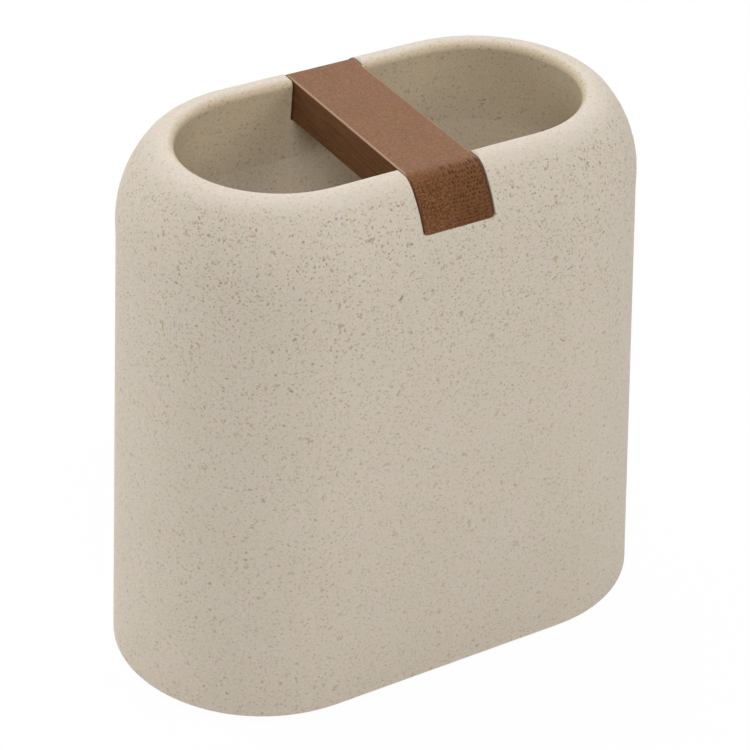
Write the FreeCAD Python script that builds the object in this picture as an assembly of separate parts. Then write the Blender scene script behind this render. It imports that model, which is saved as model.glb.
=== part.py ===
import FreeCAD, Part
import math
import os

# Toothbrush holder: a cast stone-resin cup with a bamboo divider laid across its mouth.
# Millimetres, +Z up. X runs along the cup's length and the divider lies along Y.
# The origin is the middle of the footprint, on the surface that the holder stands on.

# Cup, outside
cup_length = 107.2
cup_depth = 58.5
cup_height = 105.0
end_lean_deg = 2.7
shoulder_inward = 9.3
shoulder_drop = 16.0
shoulder_crest_round = 5.5
crown_skirt = 1.0
foot_edge_break = 0.5

# Cup, mouth and inside
lip_radius = 1.4
wall_thickness = 8.5
throat_flare_deg = 8.0
floor_thickness = 8.0
floor_radius = 5.0

# Divider and its notches
divider_width = 14.0
divider_height = 8.65
divider_below_crest = 0.25
divider_offset = -0.6
divider_taper_deg = 0.6
divider_top_round = 0.35
divider_bottom_round = 0.8
left_strip_width = 6.5
notch_clearance = 0.25
notch_corner_round = 0.6
notch_rim_round = 0.6

# Foot pad
pad_inset = 5.0
pad_thickness = 1.6
pad_recess = 1.0
pad_clearance = 0.3
pad_edge_chamfer = 0.3

# Heights and places that follow from the sizes above
foot_height = pad_thickness - pad_recess
floor_top = foot_height + floor_thickness
end_radius = cup_depth / 2
inner_radius = end_radius - wall_thickness
crest_radius = end_radius - shoulder_inward
throat_flare = math.radians(throat_flare_deg)
throat_start = crest_radius - lip_radius * math.cos(throat_flare)
throat_start_drop = lip_radius * (1 + math.sin(throat_flare))
throat_drop = throat_start_drop + (inner_radius - throat_start) / math.tan(throat_flare)
wall_top = cup_height - max(shoulder_drop, throat_drop) - crown_skirt
end_lean = math.tan(math.radians(end_lean_deg))
foot_centre = cup_length / 2 - end_radius
crown_centre = foot_centre - end_lean * (wall_top - foot_height)
divider_top = cup_height - divider_below_crest
divider_bottom = divider_top - divider_height
divider_taper = math.tan(math.radians(divider_taper_deg))
glue_line = divider_offset - divider_width / 2 + left_strip_width
overcut = cup_depth


def at(across, height):
    """A point of a crown section: distance out from the core line, and height."""
    return FreeCAD.Vector(0, across, height)


def line(start, end):
    return Part.LineSegment(start, end).toShape()


def arc(centre, radius, start_angle, end_angle):
    """An arc of a crown section, with its angles up from the level outward direction."""
    turns = (start_angle, (start_angle + end_angle) / 2, end_angle)
    points = [centre + at(radius * math.cos(turn), radius * math.sin(turn)) for turn in turns]
    return Part.Arc(*points).toShape()


def corner_arc(before, corner, after, radius):
    """The arc that rounds a corner between two straight runs, with its two ends."""
    to_before = (before - corner).normalize()
    to_after = (after - corner).normalize()
    half_angle = to_before.getAngle(to_after) / 2
    reach = radius / math.tan(half_angle)
    start = corner + to_before * reach
    end = corner + to_after * reach
    inward = (to_before + to_after).normalize()
    centre = corner + inward * (radius / math.sin(half_angle))
    middle = centre - inward * radius
    return Part.Arc(start, middle, end).toShape(), start, end


def stadium(radius, centre, height):
    """A level outline with straight sides, and half-round ends about centres this far along X."""
    right = FreeCAD.Vector(centre, 0, height)
    left = FreeCAD.Vector(-centre, 0, height)
    side = FreeCAD.Vector(0, radius, 0)
    reach = FreeCAD.Vector(radius, 0, 0)
    return Part.Wire([
        line(left - side, right - side),
        Part.Arc(right - side, right + reach, right + side).toShape(),
        line(right + side, left + side),
        Part.Arc(left + side, left - reach, left - side).toShape(),
    ])


def upright(outline, height):
    return Part.Face(outline).extrude(FreeCAD.Vector(0, 0, height))


def edges_below(shape, height):
    return [edge for edge in shape.Edges if edge.BoundBox.ZMax < height]


def leaning_block():
    """The body below the crown, not yet hollow: upright long sides and ends that lean in."""
    foot_outline = stadium(end_radius - foot_edge_break, foot_centre, foot_height)
    wall_outline = stadium(end_radius, foot_centre, foot_height + foot_edge_break)
    top_outline = stadium(end_radius, crown_centre, wall_top)
    return Part.makeLoft([foot_outline, wall_outline, top_outline], True, True)


def core():
    """The core that leaves the hollow: upright walls, and a rounded edge round the floor."""
    block = upright(stadium(inner_radius, crown_centre, floor_top), wall_top - floor_top)
    return block.makeFillet(floor_radius, edges_below(block, floor_top + floor_radius))


def shoulder_edges():
    """The crown's outside: up from the wall in a long sweep, then over a tighter round to the crest."""
    wall = at(end_radius, wall_top)
    start = at(end_radius, cup_height - shoulder_drop)
    rise_left = shoulder_drop - shoulder_crest_round
    turn = 2 * math.atan((shoulder_inward - shoulder_crest_round) / rise_left)
    sweep_radius = rise_left / math.sin(turn) + shoulder_crest_round
    sweep = arc(start - at(sweep_radius, 0), sweep_radius, 0, turn)
    crest_centre = at(crest_radius, cup_height - shoulder_crest_round)
    crest_round = arc(crest_centre, shoulder_crest_round, turn, math.pi / 2)
    return [line(wall, start), sweep, crest_round]


def mouth_edges():
    """The crown's inside: over the lip, and down a throat that flares out to the wall."""
    lip_centre = at(crest_radius, cup_height - lip_radius)
    lip = arc(lip_centre, lip_radius, math.pi / 2, math.pi + throat_flare)
    throat_top = at(throat_start, cup_height - throat_start_drop)
    throat_end = at(inner_radius, cup_height - throat_drop)
    return [lip, line(throat_top, throat_end), line(throat_end, at(inner_radius, wall_top))]


def run_round(edges):
    """Carry a half section of the crown along both long sides and round both ends."""
    section = Part.Face(Part.Wire(edges))
    here = FreeCAD.Vector(0, 0, 0)
    up = FreeCAD.Vector(0, 0, 1)
    across = FreeCAD.Vector(0, 1, 0)
    along = FreeCAD.Vector(1, 0, 0)
    reach = along * crown_centre
    side = section.translated(reach * -1).extrude(reach * 2)
    end = section.translated(reach).revolve(reach, up, -180)
    return side.fuse([side.mirror(here, across), end, end.mirror(here, along)]).removeSplitter()


def crown():
    """The open top of the cup: shoulder, lip and throat."""
    seam = line(at(inner_radius, wall_top), at(end_radius, wall_top))
    return run_round(shoulder_edges() + mouth_edges() + [seam])


def outer_form():
    """The cup's outside with nothing taken out of it, which shapes the divider's ends."""
    crest_middle = at(0, cup_height)
    core_foot = at(0, wall_top)
    closing = [
        line(at(crest_radius, cup_height), crest_middle),
        line(crest_middle, core_foot),
        line(core_foot, at(end_radius, wall_top)),
    ]
    return run_round(shoulder_edges() + closing).fuse(leaning_block())


def across_section(half_top, half_bottom, top, bottom, bottom_round, top_edges):
    """A section of the divider or its notch: tapered sides, rounded lower corners and given top edges."""
    left_top = FreeCAD.Vector(divider_offset - half_top, 0, top)
    right_top = FreeCAD.Vector(divider_offset + half_top, 0, top)
    left_low = FreeCAD.Vector(divider_offset - half_bottom, 0, bottom)
    right_low = FreeCAD.Vector(divider_offset + half_bottom, 0, bottom)
    left_arc, left_start, left_end = corner_arc(left_top, left_low, right_low, bottom_round)
    right_arc, right_start, right_end = corner_arc(left_low, right_low, right_top, bottom_round)
    edges, left_join, right_join = top_edges(left_low, left_top, right_top, right_low)
    sides = [line(left_join, left_start), line(right_end, right_join)]
    loop = edges + sides + [left_arc, line(left_end, right_start), right_arc]
    return Part.Face(Part.Wire(Part.__sortEdges__(loop)))


def rounded_top(left_low, left_top, right_top, right_low):
    """The divider's top: flat, with its long edges lightly rounded."""
    left_arc, left_start, left_end = corner_arc(left_low, left_top, right_top, divider_top_round)
    right_arc, right_start, right_end = corner_arc(left_top, right_top, right_low, divider_top_round)
    return [left_arc, line(left_end, right_start), right_arc], left_start, right_end


def flared_top(left_low, left_top, right_top, right_low):
    """The notch's top: its corners roll over into the rim, and it stays open above."""
    rise = FreeCAD.Vector(0, 0, cup_height)
    out = FreeCAD.Vector(cup_length, 0, 0)
    left_arc, left_start, left_end = corner_arc(left_low, left_top, left_top - out, notch_rim_round)
    right_arc, right_start, right_end = corner_arc(right_low, right_top, right_top + out, notch_rim_round)
    lid = [line(left_end, left_end + rise), line(left_end + rise, right_end + rise)]
    return [left_arc, right_arc, line(right_end + rise, right_end)] + lid, left_start, right_start


def through(section):
    """Carry a section right through the cup along Y."""
    start = FreeCAD.Vector(0, -overcut, 0)
    return section.translated(start).extrude(start * -2)


def notches():
    """The tool for both notches: the divider's taper with clearance at the sides, and its seat below."""
    half_rim = divider_width / 2 + notch_clearance + divider_below_crest * divider_taper
    half_seat = divider_width / 2 + notch_clearance - divider_height * divider_taper
    return through(
        across_section(half_rim, half_seat, cup_height, divider_bottom, notch_corner_round, flared_top)
    )


def divider():
    """The whole bar, before it is split into its two strips, with ends that follow the shoulder."""
    half_top = divider_width / 2
    half_bottom = half_top - divider_height * divider_taper
    bar = through(
        across_section(half_top, half_bottom, divider_top, divider_bottom, divider_bottom_round, rounded_top)
    )
    sunk = FreeCAD.Vector(0, 0, -divider_below_crest)
    return bar.common(outer_form().translated(sunk))


def strips():
    """The divider's two bamboo strips, which meet at the glue line."""
    bar = divider()
    size = 2 * cup_length
    right_side = Part.makeBox(size, size, size, FreeCAD.Vector(glue_line, -cup_length, -cup_length))
    return bar.cut(right_side), bar.common(right_side)


def cup():
    recess = upright(stadium(end_radius - pad_inset + pad_clearance, foot_centre, 0), pad_thickness)
    body = leaning_block().cut(core()).fuse(crown()).removeSplitter()
    return body.cut(notches()).cut(recess)


def foot_pad():
    """Foam pad, glued up into the recess, with its lower edge broken."""
    pad = upright(stadium(end_radius - pad_inset, foot_centre, 0), pad_thickness)
    return pad.makeChamfer(pad_edge_chamfer, edges_below(pad, pad_edge_chamfer))


left_strip, right_strip = strips()
pieces = {
    "cup": cup(),
    "divider_strip_left": left_strip,
    "divider_strip_right": right_strip,
    "foot_pad": foot_pad(),
}
os.makedirs("parts", exist_ok=True)
for name, shape in pieces.items():
    solid = Part.Compound(shape.Solids)
    box = solid.optimalBoundingBox()
    print(name, "solids", len(shape.Solids), "volume", round(solid.Volume), "valid", solid.isValid())
    print("   x", round(box.XMin, 2), round(box.XMax, 2), "y", round(box.YMin, 2), round(box.YMax, 2),
          "z", round(box.ZMin, 2), round(box.ZMax, 2))
    solid.exportStep("parts/" + name + ".step")
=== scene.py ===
"""Toothbrush holder: finishes of the stone-resin cup, its bamboo divider and the foam pad under it."""
import math

import bmesh
import bpy
from mathutils import Matrix, Vector


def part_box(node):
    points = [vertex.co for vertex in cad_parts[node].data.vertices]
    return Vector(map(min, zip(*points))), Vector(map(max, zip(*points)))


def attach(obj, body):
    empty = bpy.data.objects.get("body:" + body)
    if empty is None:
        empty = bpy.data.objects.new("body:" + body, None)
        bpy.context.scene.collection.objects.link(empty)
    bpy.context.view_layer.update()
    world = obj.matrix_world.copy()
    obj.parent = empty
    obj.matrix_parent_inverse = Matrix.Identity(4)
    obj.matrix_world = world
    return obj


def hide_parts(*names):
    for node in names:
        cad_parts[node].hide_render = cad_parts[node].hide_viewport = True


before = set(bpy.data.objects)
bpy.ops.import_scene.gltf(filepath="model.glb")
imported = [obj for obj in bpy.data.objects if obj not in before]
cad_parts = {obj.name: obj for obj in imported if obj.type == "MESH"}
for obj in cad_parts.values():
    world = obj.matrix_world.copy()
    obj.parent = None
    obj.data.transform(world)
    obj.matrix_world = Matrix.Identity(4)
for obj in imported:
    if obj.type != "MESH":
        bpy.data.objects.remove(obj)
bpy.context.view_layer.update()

MM = 0.001

# Camera: where the photograph was taken from
photo_side_px = 750
camera_azimuth = math.radians(-30.47)
camera_elevation = math.radians(32.82)
camera_roll = math.radians(0.96)
camera_distance = 507.4 * MM
camera_focal_px = 2711.0
camera_sensor_mm = 36.0
camera_clip_start = 0.01
aim_height = 52.8 * MM
aim_right_px = 2.7
aim_above_px = 14.4

# Light: each softbox has its azimuth and elevation in degrees, and its power in watts
sky_strength = 0.03
lamp_distance = 1.2
lamp_size = 0.8
softboxes = {
    "key_softbox": (-30.0, 50.0, 7.5),
    "right_softbox": (55.0, 40.0, 4.6),
    "low_left_softbox": (-135.0, 15.0, 4.6),
    "back_left_softbox": (-150.0, 65.0, 3.7),
    "back_right_softbox": (150.0, 45.0, 4.4),
}
white = (1.0, 1.0, 1.0, 1.0)
floor_radius = 3.0
floor_segments = 96
floor_paper = (0.95, 0.95, 0.95, 1.0)
floor_lift = 0.96

# Places on the object, read from the frame
crest_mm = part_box("cup")[1][2] / MM
left_low, left_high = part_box("divider_strip_left")
right_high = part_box("divider_strip_right")[1]
pad_low, pad_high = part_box("foot_pad")
glue_mm = left_high[0] / MM
bar_left_mm = left_low[0] / MM
bar_right_mm = right_high[0] / MM
bar_top_mm = left_high[2] / MM
bar_seat_mm = left_low[2] / MM

# The cup's mouth: half the straight part of its crest, the crest's radius at the ends,
# and the throat below the crest, which widens on its way down
crest_half_mm = 20.5
crest_radius_mm = 19.95
throat_mm = 17.15
throat_widening_mm = 1.6

# Stone resin: its ground colours, with a painted highlight for the crest and painted warm bounce light for
# the inside, and how large their patches are
resin_cool = (0.634, 0.570, 0.464, 1.0)
resin_light = (0.652, 0.580, 0.480, 1.0)
resin_warm = (0.656, 0.564, 0.470, 1.0)
resin_rubbed_highlit = (0.660, 0.590, 0.510, 1.0)
resin_inside_bounce_tint = (0.635, 0.525, 0.355, 1.0)
sand_dark = (0.440, 0.360, 0.260, 1.0)
sand_pale = (0.740, 0.680, 0.580, 1.0)
cloud_mm = 13.0
warm_mm = 4.0
warm_shift_mm = (31.0, 7.0, 3.0)
sand_mm = 0.40
resin_relief_mm = 0.035

# Where the resin is smoothed by rubbing and painted lighter as a highlight, below the crest, and the heights
# that its chips grow stronger between
rub_starts_mm = 3.0
rub_whole_mm = 0.6
chips_faint_mm = 45.0
chips_strong_mm = 100.0

# How far the throat's shading turns up, so that it runs out softly into the straight wall
throat_easing = 0.11

# Chips in the resin, from dust upward. Pitch and length are in millimetres, and share is that of the
# places that hold a chip. Each shows with at least its faintest strength and up to spread more,
# lies sunk in the surface, and has a tint between the two.
chips = [
    {
        "shift": (0.0, 0.0, 0.0), "pitch": 0.46, "length": 0.26, "share": 0.90,
        "faintest": 0.15, "spread": 0.45, "sunk": 0.0,
        "tints": ((0.320, 0.235, 0.145, 1.0), (0.320, 0.235, 0.145, 1.0)),
    },
    {
        "shift": (5.3, 2.1, 8.7), "pitch": 0.82, "length": 0.40, "share": 0.75,
        "faintest": 0.20, "spread": 0.45, "sunk": 0.25,
        "tints": ((0.270, 0.190, 0.115, 1.0), (0.335, 0.270, 0.185, 1.0)),
    },
    {
        "shift": (2.9, 6.4, 1.2), "pitch": 1.6, "length": 0.47, "share": 0.55,
        "faintest": 0.56, "spread": 0.0, "sunk": 0.4,
        "tints": ((0.190, 0.130, 0.080, 1.0), (0.330, 0.235, 0.140, 1.0)),
    },
    {
        "shift": (1.7, 9.9, 4.2), "pitch": 2.0, "length": 0.62, "share": 0.60,
        "faintest": 0.55, "spread": 0.0, "sunk": 0.0,
        "tints": ((0.430, 0.305, 0.140, 1.0), (0.470, 0.300, 0.205, 1.0)),
    },
]

# Walnut-coloured stain on the bamboo, with some of its colours also used for painted shade and a painted edge
# highlight, and its grain: sizes across the bar and along it
stain_deep_and_side_shade = (0.060, 0.022, 0.005, 1.0)
stain_mid_and_notch_shade = (0.200, 0.086, 0.030, 1.0)
stain_warm = (0.212, 0.088, 0.034, 1.0)
stain_pale = (0.285, 0.140, 0.060, 1.0)
stain_worn_highlight = (0.560, 0.380, 0.250, 1.0)
stain_end = (0.150, 0.060, 0.021, 1.0)
stain_end_warm = (0.172, 0.072, 0.027, 1.0)
stain_fibre_and_gap_shade = (0.058, 0.021, 0.007, 1.0)
stain_pith = (0.270, 0.118, 0.044, 1.0)
drift_mm = (4.0, 14.0)
streak_mm = (0.30, 7.0)
fleck_mm = (0.20, 0.45)
tone_mm = (5.0, 26.0)
pith_mm = 0.32
bamboo_relief_mm = 0.03

# Fibre bundles of the two strips: their pitch and size, and how dark they are on the ends
left_fibre = (0.42, 0.24, 0.30)
right_fibre = (0.62, 0.42, 0.95)

# Charcoal foam of the pad
foam_dark = (0.042, 0.041, 0.040, 1.0)
foam_light = (0.062, 0.060, 0.058, 1.0)
foam_pore = (0.018, 0.018, 0.018, 1.0)
foam_cloud_mm = 6.0
pore_pitch_mm = 0.5
pore_depth_mm = 0.08

# The pad's soft lower edge, as a share of its thickness, and the steps round each of its ends
pad_soft_share = 0.35
pad_edge_turns = (0.4, 0.8, 1.2, math.pi / 2)
pad_end_steps = 32


class Field:
    """A value that varies over a surface: one shader socket, which works in plain arithmetic."""

    def __init__(self, finish, socket):
        self.finish = finish
        self.socket = socket

    def __add__(self, other):
        return self.finish.math("ADD", self, other)

    def __radd__(self, other):
        return self.finish.math("ADD", other, self)

    def __sub__(self, other):
        return self.finish.math("SUBTRACT", self, other)

    def __rsub__(self, other):
        return self.finish.math("SUBTRACT", other, self)

    def __mul__(self, other):
        return self.finish.math("MULTIPLY", self, other)

    def __rmul__(self, other):
        return self.finish.math("MULTIPLY", other, self)

    def __truediv__(self, other):
        return self.finish.math("DIVIDE", self, other)

    def __mod__(self, other):
        return self.finish.math("FLOORED_MODULO", self, other)

    def __lt__(self, other):
        return self.finish.math("LESS_THAN", self, other)

    def __abs__(self):
        return self.finish.math("ABSOLUTE", self)

    def __floor__(self):
        return self.finish.math("FLOOR", self)


class Finish:
    """A node tree in the making, with one method for nodes and a few words built on it."""

    def __init__(self, tree):
        self.tree = tree
        tree.nodes.clear()

    def node(self, kind, settings, inputs, output=0):
        """Add a node, set it up, then give its sockets their values or links."""
        node = self.tree.nodes.new(kind)
        for name, value in settings.items():
            setattr(node, name, value)
        for name, value in inputs.items():
            if isinstance(value, Field):
                self.tree.links.new(value.socket, node.inputs[name])
            else:
                node.inputs[name].default_value = value
        return Field(self, node.outputs[output]) if node.outputs else node

    def math(self, operation, *values):
        return self.node("ShaderNodeMath", {"operation": operation}, dict(enumerate(values)))

    def vector(self, operation, first, second):
        return self.node("ShaderNodeVectorMath", {"operation": operation}, {0: first, 1: second})

    def place(self):
        """Position on the piece in millimetres, which moves with the piece."""
        metres = self.node("ShaderNodeTexCoord", {}, {}, "Object")
        return self.node("ShaderNodeVectorMath", {"operation": "SCALE"}, {0: metres, "Scale": 1 / MM})

    def split(self, vector):
        return [self.node("ShaderNodeSeparateXYZ", {}, {0: vector}, axis) for axis in "XYZ"]

    def join(self, x, y, z):
        return self.node("ShaderNodeCombineXYZ", {}, {"X": x, "Y": y, "Z": z})

    def ramp(self, value, low, high):
        """0 below low and 1 above high, with a soft step between; falls instead where low is the larger."""
        limits = {"Value": value, "From Min": low, "From Max": high}
        return self.node("ShaderNodeMapRange", {"interpolation_type": "SMOOTHSTEP"}, limits)

    def noise(self, place, size, detail=2.0, output="Fac"):
        """Cloudy variation whose lumps are about this many millimetres across."""
        inputs = {"Vector": place, "Scale": 1 / size, "Detail": detail}
        return self.node("ShaderNodeTexNoise", {}, inputs, output)

    def cells(self, place, pitch, randomness=1.0, dimensions="3D"):
        """Distance from the middle of scattered cells, in cell widths, and three random numbers per cell."""
        inputs = {"Vector": place, "Scale": 1 / pitch, "Randomness": randomness}
        distance = self.node("ShaderNodeTexVoronoi", {"voronoi_dimensions": dimensions}, inputs, "Distance")
        draws = Field(self, distance.socket.node.outputs["Color"])
        return distance, self.split(draws)

    def blend(self, share, under, over):
        """One colour over another."""
        return self.node("ShaderNodeMix", {"data_type": "RGBA"}, {0: share, 6: under, 7: over}, 2)

    def layers(self, colour, coats):
        """Colours laid one after another over the first, each with the share of it that shows."""
        for share, over in coats:
            colour = self.blend(share, colour, over)
        return colour

    def bump(self, height, depth_mm, facing=None):
        """Fine relief on the surface as it is, or on a surface that faces another way."""
        inputs = {"Height": height, "Distance": depth_mm * MM, "Strength": 1.0}
        if facing:
            inputs["Normal"] = facing
        return self.node("ShaderNodeBump", {}, inputs)

    def surface(self, inputs):
        shader = self.node("ShaderNodeBsdfPrincipled", {}, inputs)
        self.node("ShaderNodeOutputMaterial", {}, {"Surface": shader})


def material(name):
    new = bpy.data.materials.new(name)
    new.use_nodes = True
    return new


def shards(finish, place, chip):
    """Angular chips cast into the resin: where they show, from 0 to 1, and a random number for each."""
    pitch = chip["pitch"]
    shifted = finish.vector("ADD", place, chip["shift"])
    tilt = finish.noise(shifted, pitch, 3.0, "Color")
    bend = finish.vector("MULTIPLY", tilt, (pitch * 1.5, pitch, pitch * 1.25))
    distance, (chance, girth, tint) = finish.cells(finish.vector("ADD", shifted, bend), pitch)
    radius = (girth * 0.9 + 0.55) * (chip["length"] / pitch / 2)
    return finish.ramp(distance / radius, 1.15, 0.75) * (chance < chip["share"]), tint


def hollow(finish, x, y, height):
    """1 on the inside of the cup, 0 on its outside."""
    past_straight = finish.math("MAXIMUM", abs(x) - crest_half_mm, 0.0)
    from_core = finish.math("SQRT", past_straight * past_straight + y * y)
    down_throat = finish.math("MINIMUM", (crest_mm - height) / throat_mm, 1.0)
    return finish.ramp(from_core - crest_radius_mm - down_throat * throat_widening_mm, -0.4, -1.4)


def stone_resin():
    """Pale sand-coloured casting resin full of fine chips, smoothed by rubbing along the crest with a painted
    highlight there, and yellower inside as painted warm bounce light.
    """
    stone = material("stone_resin")
    finish = Finish(stone.node_tree)
    place = finish.place()
    x, y, height = finish.split(place)
    inside = hollow(finish, x, y, height)

    rubbed_and_highlit = finish.ramp(height, crest_mm - rub_starts_mm, crest_mm - rub_whole_mm) * (1.0 - inside)
    stronger_above = finish.ramp(height, chips_faint_mm, chips_strong_mm) * 0.40 + 0.78
    gritty = (1.0 - rubbed_and_highlit * 0.6) * (1.0 - inside * 0.35) * stronger_above

    cloud = finish.noise(place, cloud_mm, 3.0)
    warm = finish.noise(finish.vector("ADD", place, warm_shift_mm), warm_mm)
    sand = finish.noise(place, sand_mm, 3.0)
    colour = finish.layers(resin_cool, [
        (finish.ramp(cloud, 0.3, 0.7), resin_light),
        (finish.ramp(warm, 0.4, 0.7) * 0.6, resin_warm),
        # painted highlight: the crest is painted lighter, over resin that is really smoothed by rubbing there
        (rubbed_and_highlit * 0.6, resin_rubbed_highlit),
        # painted warm bounce light: the inside of the hollow is tinted yellower
        (inside * 0.8, resin_inside_bounce_tint),
        (finish.ramp(sand, 0.45, 0.75) * 0.20, sand_dark),
        (finish.ramp(sand, 0.42, 0.28) * 0.50, sand_pale),
    ])
    relief = sand * 0.6
    for chip in chips:
        shard, tint = shards(finish, place, chip)
        strength = tint * chip["spread"] + chip["faintest"]
        colour = finish.blend(shard * gritty * strength, colour, finish.blend(tint, *chip["tints"]))
        relief = relief - shard * chip["sunk"]

    # Painted shade in the narrow gaps beside the bar, on the sides of its notches, in the bar's mid stain
    # colour
    beside_bar = finish.math("MAXIMUM", bar_left_mm - x, x - bar_right_mm)
    notch_side = finish.ramp(beside_bar, 0.40, 0.24) * finish.ramp(beside_bar, 0.05, 0.15)
    painted_gap_shade = notch_side * finish.ramp(height, bar_seat_mm - 0.1, bar_seat_mm + 0.6)
    colour = finish.blend(painted_gap_shade * 0.6, colour, stain_mid_and_notch_shade)

    throat = inside * (crest_mm - height < throat_mm)
    facing = finish.node("ShaderNodeNewGeometry", {}, {}, "Normal")
    eased = finish.vector("ADD", facing, finish.join(0.0, 0.0, throat * throat_easing))
    finish.surface({
        "Base Color": colour,
        "Roughness": 0.60 + sand * 0.16 - rubbed_and_highlit * 0.10,
        "Specular IOR Level": 0.35,
        "Subsurface Weight": 0.25,
        "Subsurface Radius": (1.0, 0.6, 0.3),
        "Subsurface Scale": 2.0 * MM,
        "Normal": finish.bump(relief, resin_relief_mm, eased),
    })
    return stone


def along_bar(finish, x, y, height, size_mm):
    """Cloudy variation drawn out along the bar, with this size across it and along it."""
    across, along = size_mm
    return finish.noise(finish.join(x / across, y / along, height / across), 1.0)


def fibre_bundles(finish, x, height, drift, pitch, size):
    """Bundles of fibre that run the length of the strip, in staggered rows."""
    column = x / pitch + drift
    row = height / (pitch * 0.9) + drift
    stagger = math.floor(row) % 2.0 * 0.5
    distance, (chance, girth, _) = finish.cells(finish.join(column + stagger, row, 0.0), 1.0, 0.5, "2D")
    radius = (girth * 0.5 + 0.75) * (size / pitch / 2)
    return finish.ramp(distance / radius, 1.25, 0.65) * (chance * 0.4 + 0.6)


def bamboo(name, fibre_pitch, fibre_size, fibre_depth):
    """Stained bamboo strip: fibre along Y, which shows as dots on the ends and fine flecks on the faces."""
    wood = material(name)
    finish = Finish(wood.node_tree)
    place = finish.place()
    x, y, height = finish.split(place)
    facing_side, facing_end, _ = finish.split(finish.node("ShaderNodeTexCoord", {}, {}, "Normal"))
    toward_end = abs(facing_end)
    bend = finish.ramp(toward_end, 0.05, 0.35)
    end_grain = finish.ramp(toward_end, 0.15, 0.70)
    long_grain = 1.0 - end_grain
    shaded_sides = finish.ramp(abs(facing_side), 0.4, 0.9)

    drift = along_bar(finish, x, y, height, drift_mm) * 0.6
    streak = along_bar(finish, x, y, height, streak_mm)
    fleck = along_bar(finish, x, y, height, fleck_mm)
    tone = along_bar(finish, x, y, height, tone_mm)
    pith = finish.noise(place, pith_mm)
    fibre = fibre_bundles(finish, x, height, drift, fibre_pitch, fibre_size)

    edge = finish.math("MINIMUM", x - bar_left_mm, bar_right_mm - x)
    top_edge = finish.ramp(edge + (bar_top_mm - height), 0.36, 0.18)
    worn_edge_highlight = top_edge * finish.ramp(streak, 0.1, 0.45) * long_grain
    seam = finish.ramp(abs(x - glue_mm), 0.16, 0.04)

    faces = finish.layers(stain_mid_and_notch_shade, [
        (finish.ramp(tone, 0.3, 0.7), stain_warm),
        (finish.ramp(streak, 0.45, 0.8) * 0.20, stain_deep_and_side_shade),
        (finish.ramp(fleck, 0.45, 0.70) * 0.48, stain_deep_and_side_shade),
        (finish.ramp(fleck, 0.5, 0.28) * 0.55, stain_pale),
        (fibre * long_grain * 0.08, stain_deep_and_side_shade),
        # painted shade: the long sides of the bar darker than its top, with the grain's streaks in it
        (shaded_sides * (finish.ramp(streak, 0.35, 0.65) * 0.40 + 0.12), stain_deep_and_side_shade),
    ])
    ends = finish.layers(stain_end, [
        (finish.ramp(tone, 0.3, 0.7), stain_end_warm),
        (finish.ramp(pith, 0.48, 0.64) * (1.0 - fibre_depth), stain_fibre_and_gap_shade),
        (finish.ramp(pith, 0.50, 0.34) * (1.1 - fibre_depth), stain_pith),
    ])
    colour = finish.layers(faces, [
        (end_grain, ends),
        (fibre * bend * fibre_depth, stain_fibre_and_gap_shade),
        # painted highlight: a pale line along the bar's top edges, partly real wear of the stain
        (worn_edge_highlight * 0.85, stain_worn_highlight),
        # painted shade: the ends are darker along their left and right edges, where the gaps beside the bar
        # lie
        (finish.ramp(edge, 0.45, 0.1) * end_grain * 0.6, stain_fibre_and_gap_shade),
        (seam * 0.15, stain_deep_and_side_shade),
    ])
    relief = streak * 0.3 + fleck * 0.4 - fibre * end_grain * 0.8
    finish.surface({
        "Base Color": colour,
        "Roughness": 0.56 + fleck * 0.14 + end_grain * 0.15,
        "Specular IOR Level": 0.15,
        "Coat Weight": long_grain * 0.14,
        "Coat Roughness": 0.38,
        "Normal": finish.bump(relief, bamboo_relief_mm),
    })
    return wood


def closed_cell_foam():
    """Charcoal closed-cell foam, with fine pores."""
    foam = material("foam")
    finish = Finish(foam.node_tree)
    place = finish.place()
    distance, (chance, _, _) = finish.cells(place, pore_pitch_mm)
    pore = finish.ramp(distance, 0.45, 0.1) * finish.ramp(chance, 0.3, 0.8)
    cloud = finish.noise(place, foam_cloud_mm, 3.0)
    finish.surface({
        "Base Color": finish.layers(foam_dark, [(cloud, foam_light), (pore * 0.6, foam_pore)]),
        "Roughness": 0.82 + cloud * 0.12,
        "Specular IOR Level": 0.3,
        "Normal": finish.bump(1.0 - pore, pore_depth_mm),
    })
    return foam


def foot_pad(foam):
    """Die-cut foam pad, with a soft pressed edge below and a cut edge above."""
    radius = pad_high[1]
    centre = pad_high[0] - radius
    thickness = pad_high[2] - pad_low[2]
    soft = pad_soft_share * thickness
    profile = [(soft * 2.5, 0.0), (soft, 0.02 * thickness)]
    profile += [(soft * (1 - math.sin(turn)), soft * (1 - math.cos(turn))) for turn in pad_edge_turns]
    profile += [(0.06 * thickness, 0.7 * thickness), (0.02 * thickness, thickness)]
    mesh = bmesh.new()
    rings = []
    for inset, rise in profile:
        ring = []
        for side in (0, 1):
            for step in range(pad_end_steps + 1):
                turn = math.pi * (side + step / pad_end_steps) - math.pi / 2
                across = (radius - inset) * math.cos(turn)
                reach = (radius - inset) * math.sin(turn)
                ring.append(mesh.verts.new((across + centre * (1 - 2 * side), reach, pad_low[2] + rise)))
        rings.append(ring)
    for lower, upper in zip(rings, rings[1:]):
        for index in range(len(lower)):
            after = (index + 1) % len(lower)
            mesh.faces.new((lower[index], lower[after], upper[after], upper[index]))
    mesh.faces.new(list(reversed(rings[0])))
    mesh.faces.new(rings[-1])
    for face in mesh.faces:
        face.smooth = len(face.verts) == 4
    pad = placed("foot_pad_foam", mesh, foam)
    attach(pad, "holder")
    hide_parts("foot_pad")


def placed(name, mesh, finish):
    """Turn a finished mesh into an object of the scene."""
    data = bpy.data.meshes.new(name)
    mesh.to_mesh(data)
    mesh.free()
    data.materials.append(finish)
    thing = bpy.data.objects.new(name, data)
    bpy.context.scene.collection.objects.link(thing)
    return thing


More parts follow.
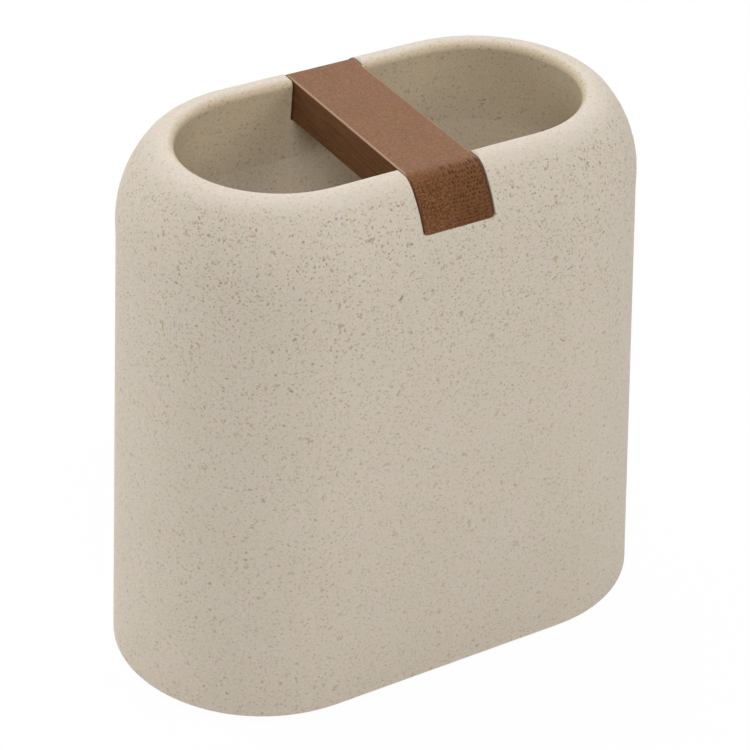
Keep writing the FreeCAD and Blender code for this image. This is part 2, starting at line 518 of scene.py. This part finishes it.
def dress(node, finish):
    """Give a CAD node its finish in place of the plain one."""
    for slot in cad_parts[node].material_slots:
        slot.material = finish


def toward(azimuth, elevation):
    """The direction from the object to a camera or lamp; azimuth 0 is the front."""
    return Vector((
        math.sin(azimuth) * math.cos(elevation),
        -math.cos(azimuth) * math.cos(elevation),
        math.sin(elevation),
    ))


def camera():
    back = toward(camera_azimuth, camera_elevation)
    level = Vector((math.cos(camera_azimuth), math.sin(camera_azimuth), 0.0))
    upward = back.cross(level)
    right = level * math.cos(camera_roll) + upward * math.sin(camera_roll)
    up = upward * math.cos(camera_roll) - level * math.sin(camera_roll)
    turn = Matrix((right, up, back)).transposed().to_4x4()
    lens = bpy.data.cameras.new("photo_camera")
    lens.sensor_width = camera_sensor_mm
    lens.lens = camera_focal_px / photo_side_px * camera_sensor_mm
    lens.shift_x = -aim_right_px / photo_side_px
    lens.shift_y = -aim_above_px / photo_side_px
    lens.clip_start = camera_clip_start
    stand = bpy.data.objects.new("photo_camera", lens)
    stand.matrix_world = Matrix.Translation(Vector((0, 0, aim_height)) + back * camera_distance) @ turn
    bpy.context.scene.collection.objects.link(stand)
    bpy.context.scene.camera = stand


def seen_directly(finish):
    """1 for rays that show the surface itself or its mirror image, 0 for rays that gather light."""
    kinds = ("Is Camera Ray", "Is Glossy Ray", "Is Transmission Ray")
    camera_ray, glossy, through = [finish.node("ShaderNodeLightPath", {}, {}, kind) for kind in kinds]
    return finish.math("MINIMUM", camera_ray + glossy + through, 1.0)


def floor():
    """White floor that keeps a soft trace of the object's shadow."""
    paper = material("white_paper")
    finish = Finish(paper.node_tree)
    lit = finish.node("ShaderNodeBsdfDiffuse", {}, {"Color": floor_paper})
    glow = finish.node("ShaderNodeEmission", {}, {"Color": white, "Strength": 1.0})
    mixed = finish.node("ShaderNodeMixShader", {}, {0: seen_directly(finish) * floor_lift, 1: lit, 2: glow})
    finish.node("ShaderNodeOutputMaterial", {}, {"Surface": mixed})
    mesh = bmesh.new()
    bmesh.ops.create_circle(mesh, cap_ends=True, radius=floor_radius, segments=floor_segments)
    sheet = placed("floor", mesh, paper)


def lights():
    """A plain white surround that gives little light itself, and the softboxes."""
    world = bpy.data.worlds.new("white_studio")
    world.use_nodes = True
    bpy.context.scene.world = world
    finish = Finish(world.node_tree)
    seen = seen_directly(finish)
    strength = seen + (1.0 - seen) * sky_strength
    sky = finish.node("ShaderNodeBackground", {}, {"Color": white, "Strength": strength})
    finish.node("ShaderNodeOutputWorld", {}, {"Surface": sky})

    for name, (azimuth_deg, elevation_deg, power) in softboxes.items():
        softbox(name, math.radians(azimuth_deg), math.radians(elevation_deg), power)


def softbox(name, azimuth, elevation, power):
    """A round diffuser that faces the middle of the object."""
    lamp = bpy.data.lights.new(name, "AREA")
    lamp.shape = "DISK"
    lamp.size = lamp_size
    lamp.energy = power
    away = toward(azimuth, elevation)
    stand = bpy.data.objects.new(name, lamp)
    stand.rotation_euler = away.to_track_quat("Z", "Y").to_euler()
    stand.location = away * lamp_distance + Vector((0.0, 0.0, aim_height))
    stand.visible_camera = False
    bpy.context.scene.collection.objects.link(stand)


bpy.context.scene.view_settings.view_transform = "Standard"
dress("cup", stone_resin())
dress("divider_strip_left", bamboo("bamboo_left", *left_fibre))
dress("divider_strip_right", bamboo("bamboo_right", *right_fibre))
foot_pad(closed_cell_foam())
camera()
floor()
lights()
